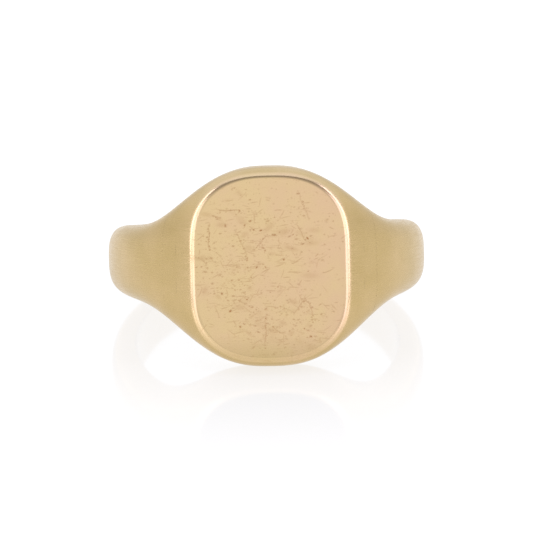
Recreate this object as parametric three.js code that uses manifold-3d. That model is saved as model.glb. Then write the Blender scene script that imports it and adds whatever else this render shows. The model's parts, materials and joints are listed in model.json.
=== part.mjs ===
// A gentleman's cushion signet ring, blank, lying on its side as it rests on a flat surface.
// Millimetres, +Z up, table (the flat seal face) towards -Y and leaning back.
// The origin is the bottom centre of the ring's box, on the surface it lies on.
import * as THREE from 'three';
import Module from 'manifold-3d';

// ---- driving dimensions, in the ring's own frame: finger axis along Z, table towards -Y ----
const BORE_RADIUS = 8.6; // finger hole, 17.2 mm across
const SHANK_RADIUS = 10.2; // outside of the hoop at the back, so the wall is 1.6 mm
const TABLE_DISTANCE = 11.0; // from the finger axis to the flat table
const EDGE_BREAK = 0.2; // 45 degree chamfer on both edges of the bore

// The plan outline swells towards the head: radius = SHANK_RADIUS + HEAD_RISE at the front,
// falling away over HEAD_SPREAD degrees. The table plane cuts its top off.
const HEAD_RISE = 2.31;
const HEAD_SPREAD = 46;

// Half the width of the ring along the finger, at any angle from the front of the head.
const BACK_HALF_WIDTH = 1.5;
const TAPER_HALF_WIDTH = 1.25; // slow taper from the back to the front of the hoop
const HEAD_HALF_WIDTH = 3.54; // what the cushion head adds on top
const CUSHION_SPREAD = 34.5; // degrees over which the head narrows into the shoulders
const CUSHION_POWER = 2.85; // how square the head's corners are

// Roundness of the cross-section: exponents of a half superellipse, at the head and at the back.
const RADIAL_POWER = { head: 3.8, back: 2.8 };
const AXIAL_POWER = { head: 4.4, back: 3.0 };

// Where the pieces meet.
const FACE_THICKNESS = 0.9; // the rosier plate that carries the table
const SOLDER_FILM = 0.08;
const JOINT_GAP = 0.005; // on each side of a solder film
const HEAD_JOINT_ANGLE = 36; // degrees from the front, just outside the table
const SHANK_JOINT_ANGLE = 104;

// Fineness of the facets.
const SECTIONS = 96;
const ARC_STEPS = 20;

const CUTTER = 40; // larger than the ring in every direction

const wasm = await Module();
wasm.setup();

const radians = THREE.MathUtils.degToRad;
const degrees = THREE.MathUtils.radToDeg;

// ---- the ring's form ----

// Angle from the front of the head, 0 to 180 degrees, the same on both sides.
function fromFront(angle) {
  return degrees(Math.acos(THREE.MathUtils.clamp(Math.cos(angle), -1, 1)));
}

function outerRadius(angle) {
  return SHANK_RADIUS + HEAD_RISE * Math.exp(-((fromFront(angle) / HEAD_SPREAD) ** 2));
}

function halfWidth(angle) {
  const taper = TAPER_HALF_WIDTH * (1 + Math.cos(angle)) / 2;
  const head = HEAD_HALF_WIDTH * Math.exp(-((fromFront(angle) / CUSHION_SPREAD) ** CUSHION_POWER));
  return BACK_HALF_WIDTH + taper + head;
}

function power(range, angle) {
  const headShare = Math.exp(-((fromFront(angle) / HEAD_SPREAD) ** 2));
  return range.back + (range.head - range.back) * headShare;
}

// One closed cross-section, as (radius, height) points: the straight bore wall, then the
// half superellipse round the outside from the lower edge to the upper one.
function crossSection(angle) {
  const wall = outerRadius(angle) - BORE_RADIUS;
  const width = halfWidth(angle);
  const radial = power(RADIAL_POWER, angle);
  const axial = power(AXIAL_POWER, angle);
  const start = Math.acos((EDGE_BREAK / wall) ** (radial / 2));
  const points = [
    new THREE.Vector2(BORE_RADIUS, width - EDGE_BREAK),
    new THREE.Vector2(BORE_RADIUS, EDGE_BREAK - width),
  ];
  for (let step = 0; step <= ARC_STEPS; step++) {
    const turn = start * (2 * step / ARC_STEPS - 1);
    const height = width * Math.abs(Math.sin(turn)) ** (2 / axial);
    points.push(new THREE.Vector2(
      BORE_RADIUS + wall * Math.cos(turn) ** (2 / radial),
      Math.sign(turn) * height,
    ));
  }
  return points;
}

// The whole hoop as one closed skin of quads, each split in two.
function hoopGeometry() {
  const sections = [];
  for (let i = 0; i < SECTIONS; i++) {
    sections.push(crossSection(2 * Math.PI * i / SECTIONS));
  }
  const count = sections[0].length;
  const position = sections.flatMap((section, i) => {
    const angle = 2 * Math.PI * i / SECTIONS;
    return section.flatMap(({ x, y }) => [x * Math.sin(angle), -x * Math.cos(angle), y]);
  });
  const index = [];
  for (let i = 0; i < SECTIONS; i++) {
    for (let j = 0; j < count; j++) {
      const a = i * count + j;
      const b = i * count + (j + 1) % count;
      const c = ((i + 1) % SECTIONS) * count + (j + 1) % count;
      const d = ((i + 1) % SECTIONS) * count + j;
      index.push(a, d, c, a, c, b);
    }
  }
  const geometry = new THREE.BufferGeometry();
  geometry.setAttribute('position', new THREE.Float32BufferAttribute(position, 3));
  geometry.setIndex(index);
  return geometry;
}

// ---- joining and cutting ----

function solidFrom(geometry) {
  return new wasm.Manifold(new wasm.Mesh({
    numProp: 3,
    vertProperties: new Float32Array(geometry.attributes.position.array),
    triVerts: new Uint32Array(geometry.index.array),
  }));
}

function geometryFrom(solid) {
  const mesh = solid.getMesh();
  const geometry = new THREE.BufferGeometry();
  geometry.setAttribute('position', new THREE.Float32BufferAttribute(mesh.vertProperties, 3));
  geometry.setIndex(Array.from(mesh.triVerts));
  geometry.computeVertexNormals();
  return geometry;
}

// A closed prism along the finger axis over a convex outline of (x, y) corners.
function prism(corners) {
  const count = corners.length;
  const position = [-CUTTER, CUTTER].flatMap((z) => corners.flatMap(([x, y]) => [x, y, z]));
  const index = [];
  for (let i = 0; i < count; i++) {
    const next = (i + 1) % count;
    index.push(i, next, count + next, i, count + next, count + i);
    if (i > 0 && i < count - 1) {
      index.push(0, i + 1, i, count, count + i, count + i + 1);
    }
  }
  const geometry = new THREE.BufferGeometry();
  geometry.setAttribute('position', new THREE.Float32BufferAttribute(position, 3));
  geometry.setIndex(index);
  return solidFrom(geometry);
}

// Everything between two distances in front of the finger axis.
function slab(near, far) {
  return prism([[-CUTTER, -far], [CUTTER, -far], [CUTTER, -near], [-CUTTER, -near]]);
}

// Everything between two angles from the front, less than half a turn apart.
function sector(from, to) {
  const at = (angle) => [CUTTER * Math.sin(radians(angle)), -CUTTER * Math.cos(radians(angle))];
  return prism([[0, 0], at(from), at((from + to) / 2), at(to)]);
}

// A thin wall on a plane through the finger axis.
function wallAt(angle, thickness) {
  const away = [Math.sin(radians(angle)), -Math.cos(radians(angle))];
  const side = [Math.cos(radians(angle)) * thickness / 2, Math.sin(radians(angle)) * thickness / 2];
  return prism([
    [-side[0], -side[1]],
    [away[0] * CUTTER - side[0], away[1] * CUTTER - side[1]],
    [away[0] * CUTTER + side[0], away[1] * CUTTER + side[1]],
    [side[0], side[1]],
  ]);
}

// ---- how the ring rests ----

// The lean at which the lower edge of the head and the back of the hoop touch down together.
function restingLean(geometry) {
  const point = new THREE.Vector3();
  const { position } = geometry.attributes;
  const lowest = (lean, front) => {
    let low = Infinity;
    for (let i = 0; i < position.count; i++) {
      point.fromBufferAttribute(position, i);
      if (point.y < 0 === front) {
        low = Math.min(low, point.z * Math.cos(lean) - point.y * Math.sin(lean));
      }
    }
    return low;
  };
  let least = 0;
  let most = radians(45);
  for (let round = 0; round < 40; round++) {
    const lean = (least + most) / 2;
    if (lowest(lean, true) < lowest(lean, false)) least = lean;
    else most = lean;
  }
  return least;
}

// ---- the pieces ----

const bodyGold = new THREE.MeshStandardMaterial({ color: 0xcfb583, metalness: 1, roughness: 0.3 });
const faceGold = new THREE.MeshStandardMaterial({ color: 0xdfc294, metalness: 1, roughness: 0.15 });
const solder = new THREE.MeshStandardMaterial({ color: 0xcab27f, metalness: 1, roughness: 0.32 });

const hoop = hoopGeometry();
const blank = solidFrom(hoop).subtract(slab(TABLE_DISTANCE, CUTTER));

const kerf = SOLDER_FILM + 2 * JOINT_GAP;
const plateBack = TABLE_DISTANCE - FACE_THICKNESS;
const joints = {
  left_head_solder: -HEAD_JOINT_ANGLE,
  right_head_solder: HEAD_JOINT_ANGLE,
  left_shank_solder: -SHANK_JOINT_ANGLE,
  right_shank_solder: SHANK_JOINT_ANGLE,
};
const hoopParts = Object.values(joints).reduce(
  (solid, angle) => solid.subtract(wallAt(angle, kerf)),
  blank,
);

const pieces = {
  face_plate: [blank.intersect(slab(plateBack, CUTTER)), faceGold],
  face_solder: [
    blank.intersect(slab(plateBack - JOINT_GAP - SOLDER_FILM, plateBack - JOINT_GAP)),
    solder,
  ],
  head_block: [
    hoopParts
      .intersect(sector(-HEAD_JOINT_ANGLE, HEAD_JOINT_ANGLE))
      .subtract(slab(plateBack - kerf, CUTTER)),
    bodyGold,
  ],
  left_shoulder: [hoopParts.intersect(sector(-SHANK_JOINT_ANGLE, -HEAD_JOINT_ANGLE)), bodyGold],
  right_shoulder: [hoopParts.intersect(sector(HEAD_JOINT_ANGLE, SHANK_JOINT_ANGLE)), bodyGold],
  back_shank: [hoopParts.intersect(sector(SHANK_JOINT_ANGLE, 360 - SHANK_JOINT_ANGLE)), bodyGold],
};
for (const [name, angle] of Object.entries(joints)) {
  pieces[name] = [blank.intersect(wallAt(angle, SOLDER_FILM)), solder];
}

const leaning = new THREE.Group();
leaning.rotation.x = -restingLean(hoop);
for (const [name, [solid, material]] of Object.entries(pieces)) {
  const mesh = new THREE.Mesh(geometryFrom(solid), material);
  mesh.name = name;
  leaning.add(mesh);
}

const ring = new THREE.Group();
ring.add(leaning);
const box = new THREE.Box3().setFromObject(ring, true);
const centre = box.getCenter(new THREE.Vector3());
leaning.position.set(-centre.x, -centre.y, -box.min.z);

export default ring;
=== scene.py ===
"""A blank cushion signet ring in 9 carat yellow gold, lying on its side on glossy white acrylic.

The frame gives where the ring lies. Every piece is cut from one form, the hoop, which is worked out from a
few driving dimensions: a ring whose cross-section is half a superellipse, wider and taller at the head,
with its front filed flat as the table. Lengths are in metres; patterns on the gold are in millimetres.
"""
import json
import math

import bmesh
import bpy
import numpy as np
from bpy.props import FloatProperty, IntProperty, PointerProperty, StringProperty
from mathutils import Matrix, Vector


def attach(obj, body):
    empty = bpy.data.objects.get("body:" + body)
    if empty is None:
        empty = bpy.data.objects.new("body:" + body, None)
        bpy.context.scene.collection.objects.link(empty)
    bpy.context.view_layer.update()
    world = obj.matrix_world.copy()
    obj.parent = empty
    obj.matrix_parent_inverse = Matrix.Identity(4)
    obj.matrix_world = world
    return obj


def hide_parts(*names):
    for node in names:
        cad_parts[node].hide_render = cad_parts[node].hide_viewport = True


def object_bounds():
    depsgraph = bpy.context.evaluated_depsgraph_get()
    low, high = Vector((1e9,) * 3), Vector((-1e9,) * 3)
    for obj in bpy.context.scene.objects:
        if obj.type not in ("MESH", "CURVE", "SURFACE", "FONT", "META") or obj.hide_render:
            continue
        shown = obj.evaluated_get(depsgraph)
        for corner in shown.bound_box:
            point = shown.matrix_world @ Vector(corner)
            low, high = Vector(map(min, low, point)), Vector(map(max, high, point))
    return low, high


bl_info = {
    "name": "Signet Ring",
    "version": (1, 0, 0),
    "blender": (4, 5, 0),
    "location": "View3D > Sidebar > Signet Ring",
    "description": "Builds a worn cushion signet ring in yellow gold on a glossy white sheet",
    "category": "Add Mesh",
}

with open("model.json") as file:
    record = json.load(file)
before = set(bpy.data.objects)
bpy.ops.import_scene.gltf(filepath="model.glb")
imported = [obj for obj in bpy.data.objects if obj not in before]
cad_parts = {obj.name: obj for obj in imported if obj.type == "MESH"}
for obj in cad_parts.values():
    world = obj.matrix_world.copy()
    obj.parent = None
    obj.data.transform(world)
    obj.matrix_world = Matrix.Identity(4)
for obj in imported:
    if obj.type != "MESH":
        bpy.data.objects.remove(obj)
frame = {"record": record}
CAD_BOX = [list(corner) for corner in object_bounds()]

MM = 0.001
TABLE = next(mount for mount in frame["record"]["mounts"] if mount["name"] == "table")

# Angles between the pieces, in degrees from the front of the head.
HEAD_JOINT = 36
SHANK_JOINT = 104
SOLDER_WIDTH = 0.09 * MM
FACE_THICKNESS = 0.9 * MM
HALF_TABLE = (5 * MM, 6 * MM)  # across and up, from the table's middle to its edge


# ---- sizes and colours that a user would change ----


class RingSizes(bpy.types.PropertyGroup):
    bore_radius: FloatProperty(
        name="Bore radius", description="Half of the finger hole", default=8.6 * MM, unit="LENGTH")
    shank_radius: FloatProperty(
        name="Shank radius", description="Outside of the hoop at the back", default=10.2 * MM,
        unit="LENGTH")
    table_distance: FloatProperty(
        name="Table distance", description="From the finger axis to the flat table",
        default=11.0 * MM, unit="LENGTH")
    head_rise: FloatProperty(
        name="Head rise", description="How far the hoop swells at the front before it is filed flat",
        default=2.31 * MM, unit="LENGTH")
    back_half_width: FloatProperty(
        name="Back half width", description="Half the width of the hoop at the back",
        default=1.5 * MM, unit="LENGTH")
    taper_half_width: FloatProperty(
        name="Taper", description="How much wider each side of the hoop gets towards the front",
        default=1.25 * MM, unit="LENGTH")
    head_half_width: FloatProperty(
        name="Head half width", description="What the cushion head adds on each side",
        default=3.54 * MM, unit="LENGTH")
    rim_round: FloatProperty(
        name="Rim round", description="Radius worn onto the edge of the table", default=0.92 * MM,
        unit="LENGTH")
    bore_round: FloatProperty(
        name="Bore round", description="Radius on the edges of the finger hole", default=0.25 * MM,
        unit="LENGTH")
    table_crown: FloatProperty(
        name="Table crown", description="How far the table's ends have worn below its middle",
        default=0.05 * MM, unit="LENGTH")


class GoldFinish(bpy.types.PropertyGroup):
    body_colour: StringProperty(name="Body", description="Yellow gold, sRGB hex", default="C9AF7D")
    # The face and flush colours are lighter than the body colour partly as a painted sheen of the brighter
    # light that the polished table faces; their rosier tone is the alloy's own.
    face_colour: StringProperty(name="Face", description="Rosier gold, sRGB hex", default="E4C899")
    flush_colour: StringProperty(
        name="Face flush", description="Pinker patches on the face, sRGB hex", default="E4C39D")
    grime_colour: StringProperty(
        name="Grime", description="Oxide and skin wax in pits and scratches", default="AE7440")
    body_roughness: FloatProperty(
        name="Body roughness", description="Satin finish of the shoulders", default=0.27, min=0, max=1)
    bore_roughness: FloatProperty(
        name="Bore roughness", description="Where the finger has polished it", default=0.17, min=0,
        max=1)
    face_roughness: FloatProperty(
        name="Face roughness", description="Worn polish of the table", default=0.16, min=0, max=1)
    wear_seed: IntProperty(
        name="Wear seed", description="Changes where pits and scratches fall", default=7)


class StudioSettings(bpy.types.PropertyGroup):
    sheet_colour: StringProperty(
        name="Sheet", description="The acrylic's own shade under its glow, sRGB hex", default="6C6C6C")
    strip_brightness: FloatProperty(
        name="Side strips", description="Radiance of the two strip lights", default=2.95)
    wing_brightness: FloatProperty(
        name="Wings", description="Radiance of the dimmer lights beside the strips", default=1.2)
    room_brightness: FloatProperty(
        name="Room", description="Radiance of the studio around the ring", default=1.0)
    sheet_glow: FloatProperty(
        name="Sheet glow", description="Light that comes up through the acrylic", default=0.885)


def sizes():
    return bpy.context.scene.ring_sizes


def finish():
    return bpy.context.scene.gold_finish


def studio():
    return bpy.context.scene.ring_studio


# ---- the ring's own frame: finger axis along Z through the origin, table towards -Y ----


def ring_to_world():
    normal = Vector(TABLE["axis"])
    lean = math.atan2(normal.z, -normal.y)
    centre = Vector(TABLE["pos_m"]) - normal * sizes().table_distance
    return Matrix.Translation(centre) @ Matrix.Rotation(-lean, 4, "X")


# ---- the form ----

HEAD_SPREAD = 46  # degrees over which the plan outline and section roundness change
CUSHION_SPREAD = 34.5  # degrees over which the head narrows into the shoulders
CUSHION_POWER = 2.85  # how square the head's corners are
RADIAL_POWER = (3.8, 2.8)  # section roundness through the wall, at the head and at the back
AXIAL_POWER = (4.4, 3.0)  # section roundness across the width, at the head and at the back


def from_front(angle):
    return np.degrees(np.arccos(np.clip(np.cos(angle), -1, 1)))


def head_share(angle):
    return np.exp(-((from_front(angle) / HEAD_SPREAD) ** 2))


def outer_radius(angle):
    return sizes().shank_radius + sizes().head_rise * head_share(angle)


def half_width(angle):
    taper = sizes().taper_half_width * (1 + np.cos(angle)) / 2
    head = sizes().head_half_width * np.exp(-((from_front(angle) / CUSHION_SPREAD) ** CUSHION_POWER))
    return sizes().back_half_width + taper + head


def section_value(radius, angle, height):
    """Below 1 inside the hoop's outer form, above 1 outside it."""
    share = head_share(angle)
    radial = RADIAL_POWER[1] + (RADIAL_POWER[0] - RADIAL_POWER[1]) * share
    axial = AXIAL_POWER[1] + (AXIAL_POWER[0] - AXIAL_POWER[1]) * share
    bore = sizes().bore_radius
    through = np.clip((radius - bore) / (outer_radius(angle) - bore), 0, None)
    across = np.abs(height) / half_width(angle)
    return through ** radial + across ** axial


def slopes(radius, angle, height):
    """The form's gradient outwards, round the hoop and along the finger."""
    step = 1e-6
    turn = step / radius
    outwards = section_value(radius + step, angle, height) - section_value(radius - step, angle, height)
    around = section_value(radius, angle + turn, height) - section_value(radius, angle - turn, height)
    along = section_value(radius, angle, height + step) - section_value(radius, angle, height - step)
    return outwards / (2 * step), around / (2 * step), along / (2 * step)


def rounded(first, second, cosine, radius):
    """The distance outside two surfaces at once, with a true fillet where they meet.
    cosine is that of the angle between their outward directions."""
    a = first + radius
    b = second + radius
    cosine = np.clip(cosine, -0.999, 0.999)
    square = np.clip(a * a + b * b - 2 * a * b * cosine, 0, None)
    fillet = np.sqrt(square / (1 - cosine ** 2)) - radius
    in_corner = (a > b * cosine) & (b > a * cosine)
    return np.where(in_corner, fillet, np.maximum(first, second))


def table_distance_at(radius, angle, height):
    """How far a point is in front of the slightly crowned table."""
    sideways = radius * np.sin(angle) / HALF_TABLE[0]
    upwards = height / HALF_TABLE[1]
    crown = sizes().table_crown * (sideways ** 2 + upwards ** 2) / 2
    return radius * np.cos(angle) - sizes().table_distance + crown


def outside(radius, angle, height):
    """The distance outside the finished hoop, with worn table edge and broken bore edges."""
    outwards, around, along = slopes(radius, angle, height)
    length = np.sqrt(outwards ** 2 + around ** 2 + along ** 2) + 1e-9
    form = (section_value(radius, angle, height) - 1) / length
    cosine = (outwards * np.cos(angle) - around * np.sin(angle)) / length
    filed = rounded(form, table_distance_at(radius, angle, height), cosine, sizes().rim_round)
    return rounded(filed, sizes().bore_radius - radius, 0, sizes().bore_round)


def section_centre(angle):
    front = np.where(np.cos(angle) > 0.5, sizes().table_distance / np.maximum(np.cos(angle), 0.5), 1)
    return (sizes().bore_radius + np.minimum(outer_radius(angle), front)) / 2


def surface_along(angle, turn):
    """The surface points (radius, height) seen from the section's centre.
    turn runs from 0 at the bore, stretched so that the steps are even on a wide section."""
    centre = section_centre(angle)
    reach = half_width(angle)
    wall = centre - sizes().bore_radius
    direction = np.arctan2(-reach * np.sin(turn), -wall * np.cos(turn))
    near = np.zeros_like(direction)
    far = np.zeros_like(direction) + 1.2 * np.hypot(reach, wall * 4)
    for _ in range(26):
        middle = (near + far) / 2
        is_out = outside(centre + middle * np.cos(direction), angle, middle * np.sin(direction)) > 0
        far = np.where(is_out, middle, far)
        near = np.where(is_out, near, middle)
    return centre + near * np.cos(direction), near * np.sin(direction)


def hoop_span(first, last, steps, count, crowding=1):
    """The hoop's skin between two angles, as [section, point, xyz] in the ring's own frame.
    Points are evenly spaced round each section, starting in the middle of the bore, or crowded
    together where the face plate is."""
    angle = np.radians(np.linspace(first, last, steps + 1))[:, None]
    turn = np.linspace(0, 2 * np.pi, count + 1)[None, :] + 0 * angle
    radius, height = surface_along(angle, turn)
    lengths = np.hypot(np.diff(radius, axis=1), np.diff(height, axis=1))
    plate = radius[:, 1:] * np.cos(angle) > sizes().table_distance - FACE_THICKNESS
    lengths = lengths * np.where(plate, crowding, 1)
    travelled = np.concatenate([0 * angle, np.cumsum(lengths, axis=1)], axis=1)
    even = np.empty((steps + 1, count))
    for i in range(steps + 1):
        wanted = travelled[i, -1] * np.arange(count) / count
        even[i] = np.interp(wanted, travelled[i], turn[i])
    radius, height = surface_along(angle, even)
    return np.stack([radius * np.sin(angle), -radius * np.cos(angle), height], axis=2)


# ---- meshes ----


def closed_mesh(name, points, grime=None):
    """A closed solid from a span of sections, with a flat cap on each end.
    It keeps each vertex's place in the ring's own frame, in millimetres, for the finish to follow."""
    rows, count, _ = points.shape
    flat = points.reshape(-1, 3)
    index = np.arange(rows * count).reshape(rows, count)
    after = np.roll(index, -1, axis=1)
    quads = np.stack([index[:-1], index[1:], after[1:], after[:-1]], axis=2).reshape(-1, 4)
    faces = quads.tolist() + [index[0].tolist(), index[-1, ::-1].tolist()]
    mesh = bpy.data.meshes.new(name)
    mesh.from_pydata(flat.tolist(), [], faces)
    place = mesh.attributes.new("ring_place", "FLOAT_VECTOR", "POINT")
    place.data.foreach_set("vector", (flat / MM).ravel())
    worn = mesh.attributes.new("grime", "FLOAT", "POINT")
    worn.data.foreach_set("value", np.zeros(len(flat)) if grime is None else grime)
    smooth = np.ones(len(faces), bool)
    smooth[-2:] = False
    mesh.polygons.foreach_set("use_smooth", smooth)
    mesh.validate()
    return mesh


def trim(mesh, distance, keep_front):
    """Cuts a mesh at a plane in front of the finger axis, keeps one side and closes the cut flat."""
    cut = bmesh.new()
    cut.from_mesh(mesh)
    result = bmesh.ops.bisect_plane(
        cut, geom=cut.verts[:] + cut.edges[:] + cut.faces[:], dist=1e-8,
        plane_co=(0, -distance, 0), plane_no=(0, -1, 0),
        clear_inner=keep_front, clear_outer=not keep_front)
    edges = [part for part in result["geom_cut"] if isinstance(part, bmesh.types.BMEdge)]
    lids = bmesh.ops.edgeloop_fill(cut, edges=edges)["faces"]
    for lid in lids:
        lid.smooth = False
    bmesh.ops.recalc_face_normals(cut, faces=cut.faces[:])
    cut.to_mesh(mesh)
    cut.free()


def add_piece(mesh, material, nodes):
    """Puts a mesh made in the ring's own frame where the frame has the ring, in place of CAD nodes."""
    outward = bmesh.new()
    outward.from_mesh(mesh)
    bmesh.ops.recalc_face_normals(outward, faces=outward.faces[:])
    for edge in outward.edges:
        edge.smooth = all(face.smooth for face in edge.link_faces)
    outward.to_mesh(mesh)
    outward.free()
    mesh.transform(ring_to_world())
    piece = bpy.data.objects.new(mesh.name, mesh)
    bpy.context.scene.collection.objects.link(piece)
    mesh.materials.append(material)
    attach(piece, "root")
    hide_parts(*nodes)


# ---- wear on the table ----


def line_distance(across, up, ends):
    """Distance of each point from a line of joined straight strokes, and how far along it, 0 to 1."""
    nearest = np.full(across.shape, 1e9)
    share = np.zeros(across.shape)
    for i, ((x0, z0), (x1, z1)) in enumerate(zip(ends[:-1], ends[1:])):
        dx, dz = x1 - x0, z1 - z0
        along = np.clip(((across - x0) * dx + (up - z0) * dz) / (dx * dx + dz * dz), 0, 1)
        distance = np.hypot(across - x0 - along * dx, up - z0 - along * dz)
        closer = distance < nearest
        share = np.where(closer, (i + along) / (len(ends) - 1), share)
        nearest = np.where(closer, distance, nearest)
    return nearest, share


# The deepest marks, each a line of strokes in millimetres: across, then up, from a point
# that lies MARKS_ACROSS and MARKS_UP from the table's middle.
MARKS_ACROSS, MARKS_UP = -0.05, 0.2
WANDER = 0.045  # mm that a scratch strays from straight
SKIP = 0.14  # mm between the pits along a deep scratch
DEEP_SCRATCHES = [
    [(1.9, 4.5), (2.2, 3.6), (2.55, 2.7)],
    [(-3.2, 3.5), (-1.8, 3.4)],
    [(-3.6, 3.1), (-2.9, 2.95)],
    [(-3.75, 2.5), (-3.75, 1.0)],
    [(-1.0, 0.9), (-0.6, 1.25), (-0.2, 1.75), (0.35, 1.85)],
    [(-2.0, 1.9), (-1.75, 1.45), (-1.6, 1.1), (-1.3, 0.2)],
    [(1.75, 2.55), (1.9, 2.2), (2.1, 1.75), (2.3, 1.45)],
    [(-4.7, 0.55), (-4.3, 0.5), (-3.9, 0.2)],
    [(-0.3, -3.5), (-0.35, -5.2)],
    [(0.6, -2.6), (1.45, -3.1), (2.15, -2.2), (2.5, -2.5), (2.6, -3.4), (2.7, -3.8)],
    [(0.1, -3.9), (0.7, -4.35)],
    [(-2.25, 4.8), (-2.0, 4.8)],
]
DEEP_PITS = [
    (-1.15, 2.75), (-0.95, 2.2), (-0.5, 2.15), (-1.5, 2.5), (-2.7, 2.5), (-1.8, 3.4), (-3.7, 1.0),
    (1.5, 1.85), (0.35, 1.85), (2.4, 1.6), (-0.8, -0.15), (0.9, 0.3), (0.5, -1.4), (-1.45, -2.15),
    (-2.5, -2.85), (-0.3, -3.35), (-1.9, -3.85), (-3.0, -1.75), (2.5, -4.55), (2.1, -4.05),
    (0.15, -3.9), (-0.25, -0.15),
]


def table_wear(points):
    """Pits and scratches on the table: how deep in metres, and how much grime they hold."""
    across = points[..., 0] / MM
    up = points[..., 2] / MM
    on_table = points[..., 1] < -(sizes().table_distance - 0.25 * MM)
    depth = np.zeros(across.shape)
    grime = np.zeros(across.shape)
    rng = np.random.default_rng(finish().wear_seed)

    def press(x0, x1, z0, z1, margin, shape):
        """Adds one mark, working only on the points near it."""
        near = on_table & (across > x0 - margin) & (across < x1 + margin)
        near &= (up > z0 - margin) & (up < z1 + margin)
        if not near.any():
            return
        sink, dirt = shape(across[near], up[near])
        depth[near] = np.maximum(depth[near], sink)
        grime[near] = np.maximum(grime[near], dirt)

    def pit(x, z, radius, sink, dirt, stretch=1.0, turn=0.0):
        c, s = math.cos(turn), math.sin(turn)

        def bowl(a, u):
            along = ((a - x) * c + (u - z) * s) / stretch
            aside = (u - z) * c - (a - x) * s
            fall = np.exp(-(along ** 2 + aside ** 2) / radius ** 2)
            return sink * fall, dirt * np.clip(fall * 1.4, 0, 1)

        press(x, x, z, z, 3 * radius * stretch, bowl)

    def scratch(ends, width, sink, dirt):
        xs = [x for x, _ in ends]
        zs = [z for _, z in ends]

        def groove(a, u):
            # A hand-held knock is never quite straight.
            distance, share = line_distance(a + WANDER * np.sin(5 * u), u + WANDER * np.sin(4 * a), ends)
            taper = np.sqrt(np.clip(4 * share * (1 - share), 0.15, 1))
            fall = np.exp(-((distance / width) ** 2)) * taper
            return sink * fall, dirt * fall

        press(min(xs), max(xs), min(zs), max(zs), 3 * width + 0.05, groove)

    # Where the table has been knocked most: across its upper part, on the left and low in the middle.
    knocks = np.array([(-1.2, 2.5), (1.9, 2.0), (-3.2, 0.2), (-1.5, -1.2), (1.8, -3.6), (-0.3, -3.4)])
    for _ in range(620):
        x, z = knocks[rng.integers(len(knocks))] + rng.normal(0, 1.2, 2)
        size = 0.018 + 0.03 * rng.random() ** 3
        pit(x, z, size, size * 0.12 * MM, rng.uniform(0.12, 0.5), rng.uniform(1, 2.6), rng.uniform(-0.6, 0.6))
    for _ in range(320):
        x, z = rng.uniform(-5, 5), rng.uniform(-6, 6)
        pit(x, z, rng.uniform(0.02, 0.035), 0.002 * MM, rng.uniform(0.1, 0.35))
    # Stains: oxide that has spread round the worst knocks.
    for _ in range(60):
        x, z = knocks[rng.integers(len(knocks))] + rng.normal(0, 1.0, 2)
        pit(x, z, rng.uniform(0.06, 0.2), 0, rng.uniform(0.05, 0.17), rng.uniform(1, 3), rng.normal(0, 0.4))
    for _ in range(480):
        x, z = knocks[rng.integers(len(knocks))] + rng.normal(0, 2.0, 2)
        reach = 0.08 + 0.7 * rng.random() ** 2
        turn = rng.normal(0, 0.12) if rng.random() < 0.55 else rng.uniform(-1.5, 1.5)
        end = (x + reach * math.cos(turn), z + reach * math.sin(turn))
        scratch([(x, z), end], 0.022, 0.002 * MM, rng.uniform(0.1, 0.42))
    for strokes in DEEP_SCRATCHES:
        ends = [(x + MARKS_ACROSS, z + MARKS_UP) for x, z in strokes]
        scratch(ends, rng.uniform(0.02, 0.03), 0.004 * MM, rng.uniform(0.3, 0.55))
        # Whatever made it skipped, and dug in along the way.
        for (x0, z0), (x1, z1) in zip(ends[:-1], ends[1:]):
            for share in np.arange(0, 1, SKIP / math.hypot(x1 - x0, z1 - z0)):
                x, z = x0 + (x1 - x0) * share, z0 + (z1 - z0) * share
                x, z = rng.normal((x, z), 0.035)
                size = rng.uniform(0.018, 0.042)
                pit(x, z, size, 0.005 * MM, rng.uniform(0.1, 0.6), 1.4, rng.uniform(0, 3))
    for x, z in DEEP_PITS:
        size = rng.uniform(0.03, 0.055)
        x, z = x + MARKS_ACROSS, z + MARKS_UP
        pit(x, z, size, 0.16 * size * MM, rng.uniform(0.6, 0.9), rng.uniform(1, 2), rng.uniform(0, 3))
    return depth, grime


# ---- nodes ----


def linear(colour):
    """An sRGB hex value as the linear RGBA that a socket takes."""
    parts = [int(colour[i:i + 2], 16) / 255 for i in (0, 2, 4)]
    return [p / 12.92 if p <= 0.04045 else ((p + 0.055) / 1.055) ** 2.4 for p in parts] + [1]


def add_node(tree, kind, links=(), values=(), **settings):
    """Adds a node. links are (its input, another node's output) and values are (its input, value)."""
    node = tree.nodes.new(kind)
    for key, value in settings.items():
        setattr(node, key, value)
    for socket, value in values:
        node.inputs[socket].default_value = value
    for socket, source in links:
        tree.links.new(source, node.inputs[socket])
    return node


def new_material(name):
    material = bpy.data.materials.new(name)
    material.use_nodes = True
    material.node_tree.nodes.clear()
    return material, material.node_tree


def gold_grain(tree):
    """What both gold finishes share: soft cloudy unevenness, fine streaks from finishing along the
    hoop, and grain. Returns the outputs (place in mm, clouds, streaks, grain), the last three 0 to 1."""
    place = add_node(tree, "ShaderNodeAttribute", attribute_name="ring_place").outputs["Vector"]
    clouds = add_node(tree, "ShaderNodeTexNoise", [("Vector", place)],
                      [("Scale", 1 / 2.2), ("Detail", 3), ("Roughness", 0.55)])
    # Streaks: 0.09 mm apart along the finger, drawn out 18 times along the hoop.
    stretched = add_node(tree, "ShaderNodeMapping", [("Vector", place)],
                         [("Scale", (1 / 18, 1 / 18, 1))])
    streaks = add_node(tree, "ShaderNodeTexNoise", [("Vector", stretched.outputs["Vector"])],
                       [("Scale", 1 / 0.09), ("Detail", 3), ("Roughness", 0.6)])
    # Grain: about 0.08 mm, coarser than the real polishing marks so that it shows.
    grain = add_node(tree, "ShaderNodeTexNoise", [("Vector", place)],
                     [("Scale", 1 / 0.08), ("Detail", 2), ("Roughness", 0.6)])
    return place, clouds.outputs["Fac"], streaks.outputs["Fac"], grain.outputs["Fac"]


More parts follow.
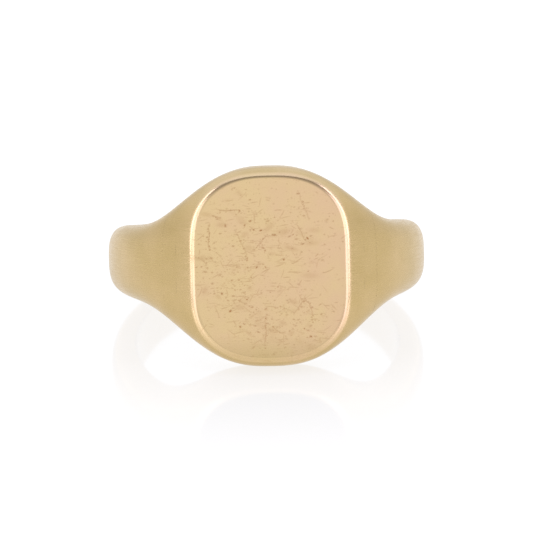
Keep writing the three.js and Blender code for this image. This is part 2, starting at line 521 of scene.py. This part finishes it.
def between(tree, share, low, high):
    """A colour that runs from one linear RGBA or output to another as share goes from 0 to 1."""
    mix = add_node(tree, "ShaderNodeMix", [("Factor", share)], data_type="RGBA")
    for socket, colour in (("A", low), ("B", high)):
        if isinstance(colour, bpy.types.NodeSocket):
            tree.links.new(colour, mix.inputs[socket])
        else:
            mix.inputs[socket].default_value = colour
    return mix.outputs["Result"]


def ramp(tree, value, start, end, low=0.0, high=1.0):
    """A value that runs from low to high as another goes from start to end."""
    return add_node(tree, "ShaderNodeMapRange", [("Value", value)],
                    [("From Min", start), ("From Max", end), ("To Min", low), ("To Max", high)]
                    ).outputs["Result"]


def shaded(colour, factor):
    """A linear colour made darker or lighter, more so in blue."""
    return [min(part * amount, 1) for part, amount in zip(colour, (factor, factor, factor ** 2))] + [1]


def satin_look(tree, place, clouds, streaks):
    """The colour and roughness of 9 carat yellow gold alloy, filed, then finished with a satin mop.
    The finger has polished the bore, and handling has left hairline scratches, whose glint is painted into
    the colour as lighter streaks."""
    gold = linear(finish().body_colour)
    colour = between(tree, ramp(tree, clouds, 0.3, 0.7), shaded(gold, 0.95), shaded(gold, 1.04))
    # Hairlines, 0.05 mm wide and drawn out 40 times, on a slant across the hoop.
    slant = add_node(tree, "ShaderNodeMapping", [("Vector", place)],
                     [("Rotation", (0.5, 0.35, 0.8)), ("Scale", (1, 1 / 40, 1))])
    marks = add_node(tree, "ShaderNodeTexNoise", [("Vector", slant.outputs["Vector"])],
                     [("Scale", 1 / 0.16), ("Detail", 1)]).outputs["Fac"]
    marks = ramp(tree, marks, 0.69, 0.74)
    # Painted glint: the hairlines are painted a lighter, bluer gold, where they would catch the light.
    colour = between(tree, ramp(tree, marks, 0, 1, 0, 0.35), colour, shaded(gold, 1.15))
    across = add_node(tree, "ShaderNodeVectorMath", [(0, place)], [(1, (1, 1, 0))],
                      operation="MULTIPLY").outputs["Vector"]
    radius = add_node(tree, "ShaderNodeVectorMath", [(0, across)], operation="LENGTH").outputs["Value"]
    bore = sizes().bore_radius / MM
    satin = finish().body_roughness
    rough = ramp(tree, radius, bore + 0.1, bore + 0.5, finish().bore_roughness, satin)
    uneven = ramp(tree, streaks, 0.3, 0.7, -0.05, 0.07)
    rough = add_node(tree, "ShaderNodeMath", [(0, rough), (1, uneven)], operation="ADD").outputs[0]
    return colour, rough


def gold_surface(tree, colour, roughness, streaks, grain, strength):
    """Bare metal with the grain pressed into it, joined to the output."""
    relief = add_node(tree, "ShaderNodeMath", [(0, grain), (2, streaks)], [(1, 0.35)],
                      operation="MULTIPLY_ADD")
    bump = add_node(tree, "ShaderNodeBump", [("Height", relief.outputs[0])],
                    [("Strength", strength), ("Distance", 0.004 * MM)])
    shader = add_node(tree, "ShaderNodeBsdfPrincipled",
                      [("Base Color", colour), ("Roughness", roughness), ("Normal", bump.outputs[0])],
                      [("Metallic", 1)])
    add_node(tree, "ShaderNodeOutputMaterial", [("Surface", shader.outputs[0])])


def satin_gold(name):
    """9 carat yellow gold alloy, filed, then finished with a satin mop.
    It gives the eye soft, wide reflections with no mirror image, and a faint grain along the hoop."""
    material, tree = new_material(name)
    place, clouds, streaks, grain = gold_grain(tree)
    colour, roughness = satin_look(tree, place, clouds, streaks)
    gold_surface(tree, colour, roughness, streaks, grain, 0.05)
    return material


def worn_gold_face(name):
    """Rosier 9 carat gold, once mirror polished, worn by years of use; its colour is lighter than the body's
    partly as a painted sheen.
    It gives the eye a clear sheen, pinkish patches, and brown oxide held in pits and scratches.
    Below the table's rim the plate has the same satin finish as the rest of the ring, and towards the table's
    lower edge its colour darkens as a painted shade."""
    material, tree = new_material(name)
    place, clouds, streaks, grain = gold_grain(tree)
    grime = add_node(tree, "ShaderNodeAttribute", attribute_name="grime").outputs["Fac"]
    parts = add_node(tree, "ShaderNodeSeparateXYZ", [("Vector", place)]).outputs
    # The flush is stronger on the right.
    flush = add_node(tree, "ShaderNodeMath", [(0, parts["X"]), (2, clouds)], [(1, 0.03)],
                     operation="MULTIPLY_ADD").outputs[0]
    # Painted sheen: the face colours are set lighter than the body gold.
    face = between(tree, ramp(tree, flush, 0.35, 0.7), linear(finish().face_colour),
                   linear(finish().flush_colour))
    # Fine hairlines: the lowest parts of the streaks.
    hairlines = ramp(tree, streaks, 0.36, 0.28, 0, 0.14)
    dirt = add_node(tree, "ShaderNodeMath", [(0, grime), (1, hairlines)], operation="MAXIMUM").outputs[0]
    face = between(tree, dirt, face, linear(finish().grime_colour))
    polish = ramp(tree, dirt, 0, 1, finish().face_roughness, 0.5)
    # The polish ends 0.05 to 0.25 mm below the table, on the rim. Towards the table's lower edge the colour
    # goes halfway to the darker body gold, a painted shade, and the roughness goes halfway to satin.
    table = -sizes().table_distance / MM
    below = ramp(tree, parts["Y"], table + 0.05, table + 0.25)
    lower_shade_and_wear = ramp(tree, parts["Z"], -4.2, -5.6, 0, 0.5)
    below = add_node(tree, "ShaderNodeMath", [(0, below), (1, lower_shade_and_wear)], operation="MAXIMUM").outputs[0]
    body, satin = satin_look(tree, place, clouds, streaks)
    colour = between(tree, below, face, body)
    roughness = add_node(tree, "ShaderNodeMix", [("Factor", below), ("A", polish), ("B", satin)])
    gold_surface(tree, colour, roughness.outputs["Result"], streaks, grain, 0.08)
    return material


def white_acrylic():
    """Cast opal acrylic sheet, glossy as made and lit from below, more so away from the ring.
    It gives the eye pure white with a weak mirror image that fades towards its edges."""
    material, tree = new_material("Cast opal acrylic")
    place = add_node(tree, "ShaderNodeNewGeometry").outputs["Position"]
    away = add_node(tree, "ShaderNodeVectorMath", [(0, place)], operation="LENGTH").outputs["Value"]
    glow = studio().sheet_glow
    strength = ramp(tree, away, 0.012, 0.032, glow, glow + 0.16)
    # The gloss is a coat, so that it takes its share of the light that comes up from below.
    shader = add_node(tree, "ShaderNodeBsdfPrincipled", [("Emission Strength", strength)],
                      [("Base Color", linear(studio().sheet_colour)), ("Roughness", 1),
                       ("Specular IOR Level", 0), ("Coat Weight", 1), ("Coat Roughness", 0.09),
                       ("Coat IOR", 1.49), ("Emission Color", (1, 1, 1, 1))])
    add_node(tree, "ShaderNodeOutputMaterial", [("Surface", shader.outputs[0])])
    return material


def material_named(name, make):
    """The material of that name, made the first time it is asked for."""
    return bpy.data.materials.get(name) or make(name)


def body_gold():
    return material_named("Satin 9 ct yellow gold", satin_gold)


def solder_gold():
    return material_named("Satin gold solder", satin_gold)


# ---- operators ----


def half_film():
    """Half the angle that a solder film takes up of the hoop, in degrees."""
    return math.degrees(SOLDER_WIDTH / sizes().shank_radius) / 2


class RING_OT_face_plate(bpy.types.Operator):
    """The plate that carries the table, with its worn rim, pits and scratches"""
    bl_idname = "ring.face_plate"
    bl_label = "Face plate"

    def execute(self, context):
        points = hoop_span(4 - HEAD_JOINT, HEAD_JOINT - 4, steps=430, count=640, crowding=4)
        depth, grime = table_wear(points)
        points[..., 1] += depth
        mesh = closed_mesh("face_plate_gold", points, grime.ravel())
        trim(mesh, sizes().table_distance - FACE_THICKNESS, keep_front=True)
        face = material_named("Worn rosy 9 ct gold", worn_gold_face)
        add_piece(mesh, face, ["face_plate"])
        return {"FINISHED"}


class RING_OT_head_block(bpy.types.Operator):
    """The thick head between the face plate and the finger"""
    bl_idname = "ring.head_block"
    bl_label = "Head block"

    def execute(self, context):
        mesh = closed_mesh("head_block_gold", hoop_span(-HEAD_JOINT, HEAD_JOINT, steps=180, count=300))
        trim(mesh, sizes().table_distance - FACE_THICKNESS - SOLDER_WIDTH, keep_front=False)
        add_piece(mesh, body_gold(), ["head_block"])
        return {"FINISHED"}


class RING_OT_shoulders(bpy.types.Operator):
    """The two shoulders that taper from the head to the back of the hoop"""
    bl_idname = "ring.shoulders"
    bl_label = "Shoulders"

    def execute(self, context):
        near = HEAD_JOINT + half_film()
        far = SHANK_JOINT - half_film()
        for side, sign in (("left", -1), ("right", 1)):
            points = hoop_span(sign * near, sign * far, steps=170, count=260)
            mesh = closed_mesh(f"{side}_shoulder_gold", points)
            add_piece(mesh, body_gold(), [f"{side}_shoulder"])
        return {"FINISHED"}


class RING_OT_back_shank(bpy.types.Operator):
    """The plain D-section back half of the hoop"""
    bl_idname = "ring.back_shank"
    bl_label = "Back shank"

    def execute(self, context):
        start = SHANK_JOINT + half_film()
        points = hoop_span(start, 360 - start, steps=340, count=160)
        mesh = closed_mesh("back_shank_gold", points)
        add_piece(mesh, body_gold(), ["back_shank"])
        return {"FINISHED"}


class RING_OT_solder_joints(bpy.types.Operator):
    """The films of gold solder between the pieces, filed flush"""
    bl_idname = "ring.solder_joints"
    bl_label = "Solder joints"

    def execute(self, context):
        film = half_film()
        joints = {
            "left_head_solder": -HEAD_JOINT,
            "right_head_solder": HEAD_JOINT,
            "left_shank_solder": -SHANK_JOINT,
            "right_shank_solder": SHANK_JOINT,
        }
        for name, angle in joints.items():
            count = 300 if "head" in name else 160
            points = hoop_span(angle - film, angle + film, steps=2, count=count)
            mesh = closed_mesh(name + "_film", points)
            add_piece(mesh, solder_gold(), [name])
        mesh = closed_mesh("face_solder_film", hoop_span(-HEAD_JOINT, HEAD_JOINT, steps=180, count=300))
        back = sizes().table_distance - FACE_THICKNESS - SOLDER_WIDTH
        trim(mesh, back, keep_front=True)
        trim(mesh, back + SOLDER_WIDTH, keep_front=False)
        add_piece(mesh, solder_gold(), ["face_solder"])
        return {"FINISHED"}


STRIP_COLOUR = (0.72, 0.7, 1.0)  # cool tubes, whose highlights on gold come out near white


def softbox(name, brightness, width, height, azimuth, elevation, distance):
    """A soft light of a given radiance, aimed at the ring. Its sizes and distance are in metres.
    azimuth is from the front towards +X, and elevation is above the sheet, in degrees."""
    light = bpy.data.lights.new(name, "AREA")
    light.shape = "RECTANGLE"
    light.size = width
    light.size_y = height
    light.energy = brightness * math.pi * width * height
    light.color = STRIP_COLOUR
    lamp = bpy.data.objects.new(name, light)
    bpy.context.scene.collection.objects.link(lamp)
    a, e = math.radians(azimuth), math.radians(elevation)
    away = Vector((math.sin(a) * math.cos(e), -math.cos(a) * math.cos(e), math.sin(e)))
    middle = (Vector(CAD_BOX[0]) + Vector(CAD_BOX[1])) / 2
    lamp.location = middle + away * distance
    lamp.rotation_euler = away.to_track_quat("Z", "Y").to_euler()
    lamp.visible_camera = False


# How bright the room is by height, from the sheet's level (0) to straight up (1), and its tint.
WARM = (1.0, 1.0, 1.0)
COOL = (0.93, 0.98, 1.16)
FRONT_BRIGHTNESS = ((0.0, 0.74, WARM), (0.07, 0.82, WARM), (0.16, 1.0, WARM), (0.28, 0.97, WARM),
                    (0.42, 0.77, WARM), (0.66, 0.42, WARM), (0.85, 0.28, WARM), (0.87, 1.1, COOL),
                    (1.0, 1.15, COOL))
BACK_BRIGHTNESS = ((0.0, 1.0, WARM), (0.06, 1.0, WARM), (0.12, 0.87, WARM), (0.3, 1.0, WARM),
                   (0.38, 1.05, WARM), (0.55, 1.22, COOL), (1.0, 1.2, COOL))


def studio_world():
    """A white tent round the ring, with a dimmer gap high in front, where the camera looks in."""
    world = bpy.data.worlds.new("White tent")
    world.use_nodes = True
    tree = world.node_tree
    tree.nodes.clear()
    direction = add_node(tree, "ShaderNodeTexCoord").outputs["Generated"]
    parts = add_node(tree, "ShaderNodeSeparateXYZ", [("Vector", direction)])
    ramps = []
    for stops in (FRONT_BRIGHTNESS, BACK_BRIGHTNESS):
        colour_ramp = add_node(tree, "ShaderNodeValToRGB", [("Fac", parts.outputs["Z"])])
        elements = colour_ramp.color_ramp.elements
        for height, _, _ in stops[1:-1]:
            elements.new(height)
        for element, (height, level, tint) in zip(elements, stops):
            element.position = height
            element.color = (*(level * part for part in tint), 1)
        ramps.append(colour_ramp.outputs["Color"])
    behind = add_node(tree, "ShaderNodeMapRange", [("Value", parts.outputs["Y"])],
                      [("From Min", -0.5), ("From Max", -0.02)], interpolation_type="SMOOTHSTEP")
    mixed = add_node(tree, "ShaderNodeMix",
                     [("Factor", behind.outputs[0]), ("A", ramps[0]), ("B", ramps[1])], data_type="RGBA")
    background = add_node(tree, "ShaderNodeBackground", [("Color", mixed.outputs["Result"])],
                          [("Strength", studio().room_brightness)])
    add_node(tree, "ShaderNodeOutputWorld", [("Surface", background.outputs[0])])
    bpy.context.scene.world = world


# The camera: a long lens a quarter of a metre away, a little to the left of the ring and above it.
# Angles are in degrees.
CAMERA_DISTANCE = 0.248
CAMERA_ELEVATION = 19.5
CAMERA_AZIMUTH = -1.3
CAMERA_ROLL = 0.8
CAMERA_LENS = 257
AIM_BELOW_CENTRE = 0.78 * MM


def add_camera():
    camera = bpy.data.objects.new("Camera", bpy.data.cameras.new("Camera"))
    bpy.context.scene.collection.objects.link(camera)
    camera.data.lens = CAMERA_LENS
    camera.data.sensor_width = 36
    camera.data.clip_start = 0.01
    camera.data.clip_end = 20
    a, e = math.radians(CAMERA_AZIMUTH), math.radians(CAMERA_ELEVATION)
    away = Vector((math.sin(a) * math.cos(e), -math.cos(a) * math.cos(e), math.sin(e)))
    turn = away.to_track_quat("Z", "Y").to_matrix().to_4x4()
    up = turn.col[1].to_3d()
    target = ring_to_world().translation - up * AIM_BELOW_CENTRE
    roll = Matrix.Rotation(math.radians(-CAMERA_ROLL), 4, "Z")
    camera.matrix_world = Matrix.Translation(target + away * CAMERA_DISTANCE) @ turn @ roll
    bpy.context.scene.camera = camera


class RING_OT_studio(bpy.types.Operator):
    """The white sheet, the lights, the room and the camera"""
    bl_idname = "ring.studio"
    bl_label = "Studio"

    def execute(self, context):
        bpy.ops.mesh.primitive_plane_add(size=6, location=(0, 0, 0))
        sheet = context.object
        sheet.name = "acrylic_sheet"
        sheet.data.materials.append(white_acrylic())
        for name, side in (("Left", -1), ("Right", 1)):
            softbox(name + " strip", studio().strip_brightness, width=0.105, height=0.46,
                    azimuth=side * 59, elevation=27, distance=0.5)
            softbox(name + " wing", studio().wing_brightness, width=0.18, height=0.4,
                    azimuth=side * 40, elevation=14, distance=0.56)
        studio_world()
        add_camera()
        context.scene.view_settings.view_transform = "Standard"
        return {"FINISHED"}


class RING_PT_panel(bpy.types.Panel):
    """Sizes, finish and the buttons that build the ring"""
    bl_label = "Signet Ring"
    bl_idname = "RING_PT_panel"
    bl_space_type = "VIEW_3D"
    bl_region_type = "UI"
    bl_category = "Signet Ring"

    def draw(self, context):
        for group in (context.scene.ring_sizes, context.scene.gold_finish, context.scene.ring_studio):
            box = self.layout.box()
            for name in group.__annotations__:
                box.prop(group, name)
        for operator in OPERATORS:
            self.layout.operator(operator.bl_idname)


OPERATORS = (RING_OT_studio, RING_OT_face_plate, RING_OT_head_block, RING_OT_shoulders,
             RING_OT_back_shank, RING_OT_solder_joints)
CLASSES = (RingSizes, GoldFinish, StudioSettings, *OPERATORS, RING_PT_panel)


def register():
    for cls in CLASSES:
        bpy.utils.register_class(cls)
    bpy.types.Scene.ring_sizes = PointerProperty(type=RingSizes)
    bpy.types.Scene.gold_finish = PointerProperty(type=GoldFinish)
    bpy.types.Scene.ring_studio = PointerProperty(type=StudioSettings)


def unregister():
    del bpy.types.Scene.ring_studio
    del bpy.types.Scene.gold_finish
    del bpy.types.Scene.ring_sizes
    for cls in reversed(CLASSES):
        bpy.utils.unregister_class(cls)


def main():
    register()
    bpy.ops.ring.studio()
    bpy.ops.ring.face_plate()
    bpy.ops.ring.head_block()
    bpy.ops.ring.shoulders()
    bpy.ops.ring.back_shank()
    bpy.ops.ring.solder_joints()


if __name__ == "__main__":
    main()
